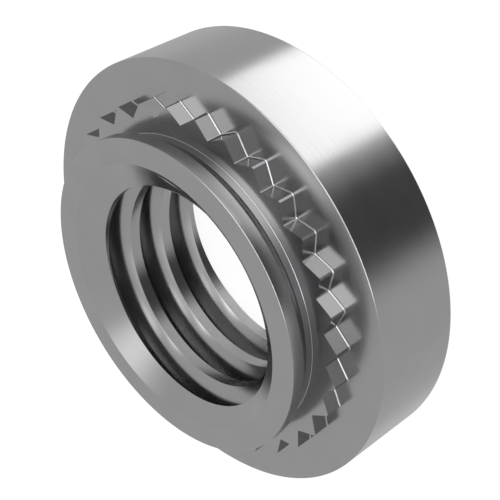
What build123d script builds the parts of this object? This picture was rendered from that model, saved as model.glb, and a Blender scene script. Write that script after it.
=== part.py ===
from build123d import *
from build123d.topology import SkipClean
import math
import os

# Self clinching nut for M5 x 0.8, seen as one turned and knurled steel piece.
# It lies on its plain back face with the shank up. The origin is the centre of
# the back face, +Z runs along the thread axis out of the shank. A tooth tip of
# the clinching ring stands on +X. All sizes are in millimetres.

# Head: a plain cylinder with a flat front that seats on the sheet.
head_diameter = 8.70
head_thickness = 1.85
head_edge = 0.02

# Clinching ring: straight-walled V teeth standing on the head's front.
tooth_count = 31
tooth_tip_radius = 3.60
tooth_valley_radius = 3.335
tooth_tip_flat = 0.045
ring_height = 0.33

# Shank: a land at the front, a cone that draws in behind it and a neck.
shank_height = 0.98
land_radius = 3.19
land_length = 0.27
cone_length = 0.23
neck_radius = 3.035
shank_edge = 0.015

# Bore: crests on the minor radius, a countersink at each end.
minor_radius = 2.165
front_sink_radius = 2.70
back_sink_radius = 2.50
sink_half_angle = 60.0

# Thread: a right-hand V groove that comes to its point on the major radius.
pitch = 0.80
major_radius = 2.61
groove_mouth = 0.573
groove_height_on_x = 0.0525

head_radius = head_diameter / 2
total_height = head_thickness + shank_height
ring_top = head_thickness + ring_height
land_bottom = total_height - land_length
neck_top = land_bottom - cone_length
sink_slope = math.tan(math.radians(sink_half_angle))
front_sink_depth = (front_sink_radius - minor_radius) / sink_slope
back_sink_depth = (back_sink_radius - minor_radius) / sink_slope


def body_of_revolution():
    """Head, neck, cone and land turned from one outline, still without a bore."""
    outline = [
        (0, 0),
        (head_radius - head_edge, 0),
        (head_radius, head_edge),
        (head_radius, head_thickness - head_edge),
        (head_radius - head_edge, head_thickness),
        (neck_radius, head_thickness),
        (neck_radius, neck_top),
        (land_radius, land_bottom),
        (land_radius, total_height - shank_edge),
        (land_radius - shank_edge, total_height),
        (0, total_height),
    ]
    face = Plane.XZ * make_face(Polyline(*outline, close=True))
    return revolve(face, Axis.Z)


def clinching_ring():
    """The toothed disc: each tooth has a narrow flat tip and two straight walls."""
    step = 2 * math.pi / tooth_count
    half_flat = tooth_tip_flat / 2 / tooth_tip_radius
    points = []
    for index in range(tooth_count):
        middle = index * step
        for angle, radius in (
            (middle - half_flat, tooth_tip_radius),
            (middle + half_flat, tooth_tip_radius),
            (middle + step / 2, tooth_valley_radius),
        ):
            points.append((radius * math.cos(angle), radius * math.sin(angle)))
    face = make_face(Polyline(*points, close=True))
    root = 0.2
    return Pos(0, 0, head_thickness - root) * extrude(face, ring_height + root)


def bore_quarters():
    """What the drill takes out at the minor radius, as four quarter slugs."""
    margin = 1.0
    slug = Solid.make_cylinder(minor_radius, total_height + 2 * margin, angle=90)
    return [Rot(0, 0, 90 * index + 45) * Pos(0, 0, -margin) * slug for index in range(4)]


def countersinks():
    """The cones at the front and at the back of the bore."""
    margin = 0.2
    spread = margin * sink_slope
    front = Pos(0, 0, total_height + (margin - front_sink_depth) / 2) * Cone(
        minor_radius, front_sink_radius + spread, front_sink_depth + margin
    )
    back = Pos(0, 0, (back_sink_depth - margin) / 2) * Cone(
        back_sink_radius + spread, minor_radius, back_sink_depth + margin
    )
    return front, back


def thread_groove():
    """A V bar wound up the bore; it begins and ends outside the piece."""
    turns = math.ceil(total_height / pitch) + 2
    path = Helix(pitch, turns * pitch, minor_radius)
    depth = major_radius - minor_radius
    overlap = 0.1
    half_width = groove_mouth / 2 * (1 + overlap / depth)
    triangle = make_face(
        Polyline((depth, 0), (-overlap, half_width), (-overlap, -half_width), close=True)
    )
    section = Plane(origin=path @ 0, x_dir=(1, 0, 0), z_dir=path % 0) * triangle
    bar = sweep(section, path, is_frenet=True)
    return Pos(0, 0, groove_height_on_x - pitch) * bar


def clinch_nut():
    """The whole piece: fused outside first, then bore, countersinks and thread.

    The bore is run through once more at the end. That takes nothing off, and it
    leaves each turn of the crest as four short faces.
    """
    solid = (body_of_revolution() + clinching_ring()).solid()
    for cutter in (*bore_quarters(), *countersinks(), thread_groove()):
        solid = solid.cut(cutter)
    with SkipClean():
        for cutter in bore_quarters():
            solid = solid.cut(cutter)
    return solid.solid()


os.makedirs("parts", exist_ok=True)
export_step(clinch_nut(), "parts/clinch_nut.step")
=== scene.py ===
import math
import bpy
import numpy as np
from mathutils import Matrix


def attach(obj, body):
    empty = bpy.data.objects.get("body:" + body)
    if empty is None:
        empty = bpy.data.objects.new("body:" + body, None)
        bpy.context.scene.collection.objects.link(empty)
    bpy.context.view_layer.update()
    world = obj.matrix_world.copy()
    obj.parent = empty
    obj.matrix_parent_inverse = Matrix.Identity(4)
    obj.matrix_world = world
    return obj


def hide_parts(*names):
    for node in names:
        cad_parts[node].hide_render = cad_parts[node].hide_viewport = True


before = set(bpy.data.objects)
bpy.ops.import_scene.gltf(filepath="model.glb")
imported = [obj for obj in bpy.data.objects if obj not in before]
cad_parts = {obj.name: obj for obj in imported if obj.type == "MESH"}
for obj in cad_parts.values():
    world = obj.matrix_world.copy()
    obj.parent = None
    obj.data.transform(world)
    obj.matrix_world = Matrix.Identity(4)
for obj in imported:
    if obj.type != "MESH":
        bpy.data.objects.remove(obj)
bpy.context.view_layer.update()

# Camera: close above the nut and to one side of its shank, rolled so that the
# thread axis points to the lower left of the picture.
camera_data = bpy.data.cameras.new("camera")
camera_data.sensor_width = 36.0
camera_data.lens = 88.245
camera_data.clip_start = 0.001
camera_data.clip_end = 10.0
camera = bpy.data.objects.new("camera", camera_data)
bpy.context.scene.collection.objects.link(camera)
camera.matrix_world = Matrix((
    (0.437067, -0.894254, -0.096345, -0.0023463),
    (0.555295, 0.184021, 0.811038, 0.0194138),
    (-0.707545, -0.407978, 0.577005, 0.0144657),
    (0.0, 0.0, 0.0, 1.0),
))
bpy.context.scene.camera = camera
bpy.context.scene.view_settings.view_transform = "Standard"

# Nut: one piece of turned steel with a knurled clinching ring and a thread that
# runs out through both countersinks. Its faces are grids of computed points, welded
# into one closed mesh. Lengths are in millimetres until the mesh is made in metres.
head_radius, head_top, head_edge = 4.35, 1.85, 0.02
teeth, tip_radius, valley_radius, tip_flat = 31, 3.60, 3.335, 0.045
ring_top, valley_round, root_round = 2.18, 0.04, 0.03
nut_top, land_radius, land_bottom, land_edge = 2.83, 3.19, 2.56, 0.015
neck_radius, neck_top, neck_round = 3.035, 2.33, 0.014
crest_radius, front_sink, back_sink = 2.165, 2.70, 2.50
major_radius, pitch, groove_mouth, groove_height = 2.61, 0.80, 0.573, 0.0525
flank_steps, crest_steps, flank_swings = 12, 4, (0.22, 0.01)
round_steps, fan_steps, wall_steps, sink_steps = 4, 3, 5, 3
sink_lean = math.radians(30)
sink_slope, sink_out, sink_up = math.tan(sink_lean), math.sin(sink_lean), math.cos(sink_lean)
lead = pitch / (2 * math.pi)
weld_size, on_end, past_end = 1e-7, 1e-7, 1e-9
front_sink_bottom = nut_top - (front_sink - crest_radius) * sink_slope
back_sink_top = (back_sink - crest_radius) * sink_slope


def tooth_outline():
    """The clinching ring seen along the axis, as complex points and unit facings.

    Half a tooth is its tip corner, taken several times with the facing turned in
    steps, then the straight wall, then half of the valley's arc, which is the
    arc's centre minus its radius along the facing. The other half is the mirror
    image, and the ring is the tooth turned by each multiple of its own angle.
    """
    half = math.pi / teeth
    corner = tip_radius * np.exp(1j * tip_flat / 2 / tip_radius)
    bisector = np.exp(1j * half)
    wall = valley_radius * bisector - corner
    wall /= abs(wall)
    facing = float(np.angle(wall / 1j))
    spread = math.acos(-(wall * np.conj(bisector)).real)
    centre = bisector * (valley_radius + valley_round / math.sin(spread))
    arc = np.linspace(facing, half, fan_steps + 1)
    valley = centre - valley_round * np.exp(1j * arc)
    straight = np.linspace(corner, valley[0], wall_steps + 1)
    points = np.concatenate([np.repeat(corner, fan_steps + 1), straight[1:], valley[1:]])
    turned = np.concatenate([
        np.linspace(0, facing, fan_steps + 1), np.full(wall_steps, facing), arc[1:]
    ])
    points = np.concatenate([np.conj(points[:0:-1]), np.conj(points[:1]), points])[1:]
    turned = np.concatenate([-turned[:0:-1], -turned[:1], turned])[1:]
    turn = np.exp(2j * half * np.arange(teeth))[:, None]
    points, facings = (turn * points).ravel(), (turn * np.exp(1j * turned)).ravel()
    return np.append(points, points[0]), np.append(facings, facings[0])


outline, outline_facing = tooth_outline()
columns = len(outline)
angle = -math.pi / teeth + 2 * math.pi * (np.arange(columns) + 1) / (columns - 1)
spoke = np.exp(1j * angle)
grids = []


def skin(across, height, out, up, sink=0):
    """Adds a grid of points, with rows along the nut's section and columns round it.

    Across and out are complex: a point's place and its normal, seen along the axis.
    Height and up are their parts along the axis. A point that lies on the cone of
    the front or back countersink is marked 1 or -1 in sink.
    """
    shape = np.broadcast_shapes(np.shape(across), np.shape(height), (1, columns))
    grids.append([np.broadcast_to(part, shape) for part in (across, height, out, up, sink)])


def straight_turned(r0, z0, r1, z1):
    """A turned face between two circles; its normal is the section's line turned back."""
    length = math.hypot(r1 - r0, z1 - z0)
    out, up = -(z1 - z0) / length, (r1 - r0) / length
    skin(np.array([[r0], [r1]]) * spoke, np.array([[z0], [z1]]), out * spoke, up)


def round_turned(r, z, radius, start, end, side):
    """A turned round: centre plus or minus the radius along the normal as it turns."""
    tilt = np.radians(np.linspace(start, end, round_steps + 1))[:, None]
    skin((r + side * radius * np.cos(tilt)) * spoke, z + side * radius * np.sin(tilt),
         np.cos(tilt) * spoke, np.sin(tilt))


def end_height(side, radius):
    """How high the nut's front (side 1) or back (side -1) is: a cone, then flat."""
    if side > 0:
        return np.minimum(front_sink_bottom + (radius - crest_radius) * sink_slope, nut_top)
    return np.maximum(back_sink_top - (radius - crest_radius) * sink_slope, 0)


def thread_rows():
    """The section of the threaded bore at each column, from back to front.

    A turn is one flank of the V, the other flank and the crest, a straight run at
    the minor radius. A flank is a shallow arc between its lip and the V's point: its
    lean swings evenly about the chord's, and the chord is twice the arc's radius
    times the sine of the swing. The section climbs one pitch per round. Where it
    crosses the nut's front or back, the row nearest to the crossing is put there by
    the share of the step. What lies beyond follows the end's cone, and the rows past
    the last crossing all stay there.
    """
    lip = np.array([crest_radius, groove_mouth / 2])
    chord = math.hypot(major_radius - crest_radius, groove_mouth / 2)
    lower, upper = (
        lip[:, None] + chord / 2 / math.sin((lean[-1] - lean[0]) / 2)
        * np.stack([np.cos(lean[0]) - np.cos(lean), np.sin(lean[0]) - np.sin(lean)])
        for lean in leans)
    crest = np.linspace(lip, [crest_radius, pitch - groove_mouth / 2], crest_steps + 1).T
    turn = np.concatenate([lower * [[1], [-1]], upper[:, -2::-1], crest[:, 1:-1]], 1)
    count, turns = turn.shape[1], np.arange(-1, math.ceil(nut_top / pitch))
    radius = np.tile(turn[0], len(turns))[:, None] + 0 * angle
    height = (turn[1] + pitch * turns[:, None]).reshape(-1, 1)
    height = height + groove_height + lead * angle
    edge = np.isin(np.arange(len(radius)) % count, (0, flank_steps, 2 * flank_steps))
    for side in (1, -1):
        over = side * (height - end_height(side, radius))
        i, j = np.nonzero((over[:-1] < 0) != (over[1:] < 0))
        part = over[i, j] / (over[i, j] - over[i + 1, j])
        row = i + ((part > 0.5) & ~edge[i + 1] | edge[i])
        for grid in (radius, height):
            grid[row, j] = grid[i, j] + part * (grid[i + 1, j] - grid[i, j])
    front, back = end_height(1, radius), end_height(-1, radius)
    inside = (height < front - past_end) & (height > back + past_end)
    first = inside.argmax(0) - 1
    last = len(inside) - inside[::-1].argmax(0)
    pick = np.clip(np.arange(len(inside))[:, None], first, last)
    radius, height, front, back = (
        np.take_along_axis(a, pick, 0) for a in (radius, height, front, back))
    height = np.clip(height, back, front)
    sink = 1 * (abs(height - front) < on_end) - 1 * (abs(height - back) < on_end)
    return radius, height, sink, count


lean = math.atan2(major_radius - crest_radius, groove_mouth / 2)
leans = [lean + np.linspace(-swing, swing, flank_steps + 1) for swing in flank_swings]
thread_radius, thread_height, thread_sink, turn_rows = thread_rows()

# A normal of the thread is the cross product of the section's line, which tilts from
# the axis, and the helix, which goes r round and lead up in a radian.
runs = (
    (0, flank_steps, -leans[0]),
    (flank_steps, 2 * flank_steps, leans[1][::-1]),
    (2 * flank_steps, turn_rows, np.zeros(crest_steps + 1)),
)
for start in range(0, len(thread_radius), turn_rows):
    for first, last, tilts in runs:
        rows = slice(start + first, start + last + 1)
        r = thread_radius[rows]
        tilt = tilts[:len(r), None]
        out = -r * np.cos(tilt) + 1j * lead * np.sin(tilt)
        skin(r * spoke, thread_height[rows], out * spoke, -r * np.sin(tilt), thread_sink[rows])

# The other faces, from the front countersink round the outside to the back one.
share = np.linspace(0, 1, sink_steps + 1)[:, None]
skin((thread_radius[-1] + share * (front_sink - thread_radius[-1])) * spoke,
     thread_height[-1] + share * (nut_top - thread_height[-1]), -sink_out * spoke, sink_up)
straight_turned(front_sink, nut_top, land_radius - land_edge, nut_top)
round_turned(land_radius - land_edge, nut_top - land_edge, land_edge, 90, 0, 1)
straight_turned(land_radius, nut_top - land_edge, land_radius, land_bottom)
straight_turned(land_radius, land_bottom, neck_radius, neck_top)
straight_turned(neck_radius, neck_top, neck_radius, ring_top + neck_round)
round_turned(neck_radius + neck_round, ring_top + neck_round, neck_round, 0, 90, -1)
skin(np.stack([(neck_radius + neck_round) * spoke, outline]), ring_top, 0 * spoke, 1.0)
skin(outline, np.array([[ring_top], [head_top + root_round]]), outline_facing, 0.0)
bend = np.linspace(0, math.pi / 2, round_steps + 1)[:, None]
skin(outline + root_round * (1 - np.cos(bend)) * outline_facing,
     head_top + root_round * (1 - np.sin(bend)), np.cos(bend) * outline_facing, np.sin(bend))
skin(np.stack([outline + root_round * outline_facing, (head_radius - head_edge) * spoke]),
     head_top, 0 * spoke, 1.0)
round_turned(head_radius - head_edge, head_top - head_edge, head_edge, 90, 0, 1)
straight_turned(head_radius, head_top - head_edge, head_radius, head_edge)
round_turned(head_radius - head_edge, head_edge, head_edge, 0, -90, 1)
back_mouth = np.maximum(back_sink, thread_radius[0])
skin(np.stack([(head_radius - head_edge) * spoke, back_mouth * spoke]), 0, 0 * spoke, -1.0)
skin((back_mouth + share * (thread_radius[0] - back_mouth)) * spoke,
     share * thread_height[0], -sink_out * spoke, -sink_up)


def welded(grids):
    """One closed mesh of the grids: two triangles to a cell, points in one place joined.

    Triangles without area are left out. A corner's normal is its grid point's, and
    where all three corners lie on a countersink's cone it is the cone's own. The
    points come back in metres.
    """
    points, normals, marks, corners, count = [], [], [], [], 0
    for across, height, out, up, sink in grids:
        cell = np.arange(across.size).reshape(across.shape) + count
        a, b, c, d = cell[:-1, :-1], cell[1:, :-1], cell[1:, 1:], cell[:-1, 1:]
        corners.append(np.stack([a, b, d, b, c, d], -1).reshape(-1, 3))
        points.append(np.stack([across.real, across.imag, height], -1).reshape(-1, 3))
        normals.append(np.stack([np.real(out), np.imag(out), up], -1).reshape(-1, 3))
        marks.append(sink.ravel())
        count += across.size
    points, normals = np.concatenate(points), np.concatenate(normals)
    corners, marks = np.concatenate(corners), np.concatenate(marks)
    places, place = np.unique(np.rint(points / weld_size), axis=0, return_inverse=True)
    place = place.ravel()[corners]
    real = (place != np.roll(place, 1, axis=1)).all(1)
    place, corners = place[real], corners[real]
    facing, sink = normals[corners], marks[corners]
    for side in (1, -1):
        on = (sink == side).all(1)
        spot = points[corners[on]]
        flat = -sink_out * spot / np.linalg.norm(spot[..., :2], axis=-1, keepdims=True)
        flat[..., 2] = side * sink_up
        facing[on] = flat
    facing /= np.linalg.norm(facing, axis=-1, keepdims=True)
    return places * weld_size * 1e-3, place, facing.reshape(-1, 3)


places, triangles, facings = welded(grids)
mesh = bpy.data.meshes.new("self_clinching_nut")
mesh.from_pydata(places, [], triangles.tolist(), shade_flat=False)
mesh.normals_split_custom_set(facings.tolist())
nut = bpy.data.objects.new("self_clinching_nut", mesh)
bpy.context.scene.collection.objects.link(nut)
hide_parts("clinch_nut")
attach(nut, "root")

steel = bpy.data.materials.new("steel")
steel.use_nodes = True
nodes, links = steel.node_tree.nodes, steel.node_tree.links
surface = nodes["Principled BSDF"]
surface.inputs["Metallic"].default_value = 1.0
surface.inputs["Specular Tint"].default_value = (0.82, 0.82, 0.82, 1.0)

# Turning marks follow radius plus height, so that they run round every face. The
# plating's clouds are soft noise in space.
place = nodes.new("ShaderNodeTexCoord").outputs["Object"]
flattened = nodes.new("ShaderNodeVectorMath")
flattened.operation = "MULTIPLY"
flattened.inputs[1].default_value = (1.0, 1.0, 0.0)
links.new(place, flattened.inputs[0])
radius = nodes.new("ShaderNodeVectorMath")
radius.operation = "LENGTH"
links.new(flattened.outputs[0], radius.inputs[0])
height = nodes.new("ShaderNodeSeparateXYZ")
links.new(place, height.inputs[0])
along = nodes.new("ShaderNodeMath")
along.operation = "ADD"
links.new(radius.outputs["Value"], along.inputs[0])
links.new(height.outputs["Z"], along.inputs[1])
turning = nodes.new("ShaderNodeTexNoise")
turning.noise_dimensions = "1D"
turning.inputs["Scale"].default_value = 32000.0
turning.inputs["Detail"].default_value = 3.0
links.new(along.outputs[0], turning.inputs["W"])
plating = nodes.new("ShaderNodeTexNoise")
plating.inputs["Scale"].default_value = 1400.0
plating.inputs["Detail"].default_value = 5.0
links.new(place, plating.inputs["Vector"])


def ranged(value, low, high, least, most):
    """The value's run from low to high, drawn out to the run from least to most."""
    node = nodes.new("ShaderNodeMapRange")
    ends = {"From Min": low, "From Max": high, "To Min": least, "To Max": most}
    for name, number in ends.items():
        node.inputs[name].default_value = number
    links.new(value, node.inputs["Value"])
    return node.outputs["Result"]


marks = ranged(turning.outputs["Fac"], 0.3, 0.7, 0.15, 0.19)
clouds = ranged(plating.outputs["Fac"], 0.3, 0.7, 0.0, 0.04)
rough = nodes.new("ShaderNodeMath")
rough.operation = "ADD"
links.new(marks, rough.inputs[0])
links.new(clouds, rough.inputs[1])
links.new(rough.outputs[0], surface.inputs["Roughness"])
tone = nodes.new("ShaderNodeValToRGB")
tone.color_ramp.elements[0].position = 0.35
tone.color_ramp.elements[0].color = (0.263, 0.263, 0.266, 1.0)
tone.color_ramp.elements[1].position = 0.65
tone.color_ramp.elements[1].color = (0.273, 0.273, 0.274, 1.0)
links.new(plating.outputs["Fac"], tone.inputs["Fac"])
links.new(tone.outputs["Color"], surface.inputs["Base Color"])
grooves = nodes.new("ShaderNodeBump")
grooves.inputs["Strength"].default_value = 1.0
grooves.inputs["Distance"].default_value = 1e-7
links.new(turning.outputs["Fac"], grooves.inputs["Height"])
links.new(grooves.outputs["Normal"], surface.inputs["Normal"])
mesh.materials.append(steel)

# Floor: plain white, with the nut's soft shadow. Only the camera sees it; the
# steel looks through it at the studio, so that its underside is lit as well.
floor_half, floor_drop = 3.0, 2e-5
floor_mesh = bpy.data.meshes.new("floor")
floor_mesh.from_pydata(
    [(x * floor_half, y * floor_half, -floor_drop)
     for x, y in ((-1, -1), (1, -1), (1, 1), (-1, 1))], [], [(0, 1, 2, 3)]
)
floor = bpy.data.objects.new("floor", floor_mesh)
bpy.context.scene.collection.objects.link(floor)
paper = bpy.data.materials.new("white_paper")
paper.use_nodes = True
nodes, links = paper.node_tree.nodes, paper.node_tree.links
nodes.clear()
output = nodes.new("ShaderNodeOutputMaterial")
seen = nodes.new("ShaderNodeLightPath")
either = nodes.new("ShaderNodeMixShader")
clear = nodes.new("ShaderNodeBsdfTransparent")
both = nodes.new("ShaderNodeAddShader")
glow = nodes.new("ShaderNodeEmission")
glow.inputs["Strength"].default_value = 0.93
matt = nodes.new("ShaderNodeBsdfDiffuse")
matt.inputs["Color"].default_value = (0.08, 0.08, 0.08, 1.0)
links.new(glow.outputs[0], both.inputs[0])
links.new(matt.outputs[0], both.inputs[1])
links.new(seen.outputs["Is Camera Ray"], either.inputs["Fac"])
links.new(clear.outputs[0], either.inputs[1])
links.new(both.outputs[0], either.inputs[2])
links.new(either.outputs[0], output.inputs["Surface"])
floor_mesh.materials.append(paper)

# Studio: white all round, with two soft boxes at one side of the nut, a smaller box,
# a glow and a bluish window beside them, a strip light overhead and two dark panels
# low down. Only the steel sees them. The camera sees plain white.
world = bpy.data.worlds.new("studio")
bpy.context.scene.world = world
world.use_nodes = True
nodes, links = world.node_tree.nodes, world.node_tree.links
nodes.clear()


def math_node(operation, *values):
    """A Math node with its inputs linked or set, by the values' own kinds."""
    node = nodes.new("ShaderNodeMath")
    node.operation = operation
    for socket, value in zip(node.inputs, values):
        if isinstance(value, (int, float)):
            socket.default_value = value
        else:
            links.new(value, socket)
    return node.outputs[0]


def soft_step(value, start, end):
    """0 before start and 1 after end, with a smooth rise between them."""
    node = nodes.new("ShaderNodeMapRange")
    node.interpolation_type = "SMOOTHSTEP"
    links.new(value, node.inputs["Value"])
    node.inputs["From Min"].default_value = start
    node.inputs["From Max"].default_value = end
    return node.outputs["Result"]


def band(value, low, high, soft_low, soft_high):
    """1 between low and high, with ends that are soft by so much to either side."""
    rise = soft_step(value, low - soft_low, low + soft_low)
    fall = soft_step(math_node("MULTIPLY", value, -1.0), -high - soft_high, -high + soft_high)
    return math_node("MULTIPLY", rise, fall)


def panel(azimuth, half_width, edge, bottom, top, edge_up, slope, strength):
    """The light of a panel given by its middle, half width and heights in degrees.

    The slope is how much the top and bottom rise per degree across the panel.
    """
    turned = math_node("SUBTRACT", bearing, azimuth)
    aside = math_node("WRAP", turned, 180.0, -180.0)
    across = math_node("MULTIPLY", math_node("ABSOLUTE", aside), -1.0)
    across = soft_step(across, -half_width - edge, -half_width + edge)
    level = math_node("SUBTRACT", lift, math_node("MULTIPLY", aside, slope))
    inside = math_node("MULTIPLY", across, band(level, bottom, top, edge_up, edge_up))
    return math_node("MULTIPLY", inside, strength)


direction = nodes.new("ShaderNodeTexCoord")
split = nodes.new("ShaderNodeSeparateXYZ")
links.new(direction.outputs["Generated"], split.inputs[0])
bearing = math_node("DEGREES", math_node("ARCTAN2", split.outputs["Y"], split.outputs["X"]))
lift = math_node("DEGREES", math_node("ARCSINE", split.outputs["Z"]))
plain_light = 1.0
low_box = panel(150.5, 33.5, 3.5, -80.0, -37.0, 1.5, 0.0, 3.0)
high_box = panel(127.5, 28.0, 20.0, 20.0, 49.0, 6.0, 0.15, 5.6)
side_box = panel(93.0, 14.0, 6.0, 4.0, 26.0, 4.0, 0.0, 4.0)
low_dark = panel(80.5, 27.0, 13.0, -80.0, -8.0, 12.0, 0.0, -0.87)
rear_dark = panel(-87.0, 32.0, 14.0, -80.0, -12.0, 10.0, 0.0, -0.36)
upper_glow = panel(60.0, 30.0, 10.0, 30.0, 60.0, 8.0, 0.0, 0.5)
window = panel(65.0, 14.0, 5.0, 6.0, 24.0, 3.0, 0.0, 9.0)

# The strip light overhead runs along Y and is bounded by the direction's own X, Y, Z.
strip_x, strip_core, strip_edge, strip_strength = -0.16, 0.01, 0.26, 1.5
beside = math_node("ABSOLUTE", math_node("SUBTRACT", split.outputs["X"], strip_x))
strip = soft_step(math_node("MULTIPLY", beside, -1.0), -strip_edge, -strip_core)
strip = math_node("MULTIPLY", strip, band(split.outputs["Y"], -0.225, 0.35, 0.125, 0.15))
strip = math_node("MULTIPLY", strip, soft_step(split.outputs["Z"], 0.7, 0.85))
strip = math_node("MULTIPLY", strip, strip_strength)

light = plain_light
for part in (low_box, high_box, side_box, strip, low_dark, rear_dark, upper_glow):
    light = math_node("ADD", part, light)
seen = nodes.new("ShaderNodeLightPath")
coloured = nodes.new("ShaderNodeVectorMath")
coloured.operation = "MULTIPLY_ADD"
coloured.inputs[0].default_value = (0.96, 0.99, 1.06)
links.new(window, coloured.inputs[1])
links.new(light, coloured.inputs[2])
shown = nodes.new("ShaderNodeMix")
shown.data_type = "RGBA"
links.new(seen.outputs["Is Camera Ray"], shown.inputs["Factor"])
links.new(coloured.outputs[0], shown.inputs[6])
shown.inputs[7].default_value = (1.0, 1.0, 1.0, 1.0)
sky = nodes.new("ShaderNodeBackground")
links.new(shown.outputs[2], sky.inputs["Color"])
output = nodes.new("ShaderNodeOutputWorld")
links.new(sky.outputs[0], output.inputs["Surface"])
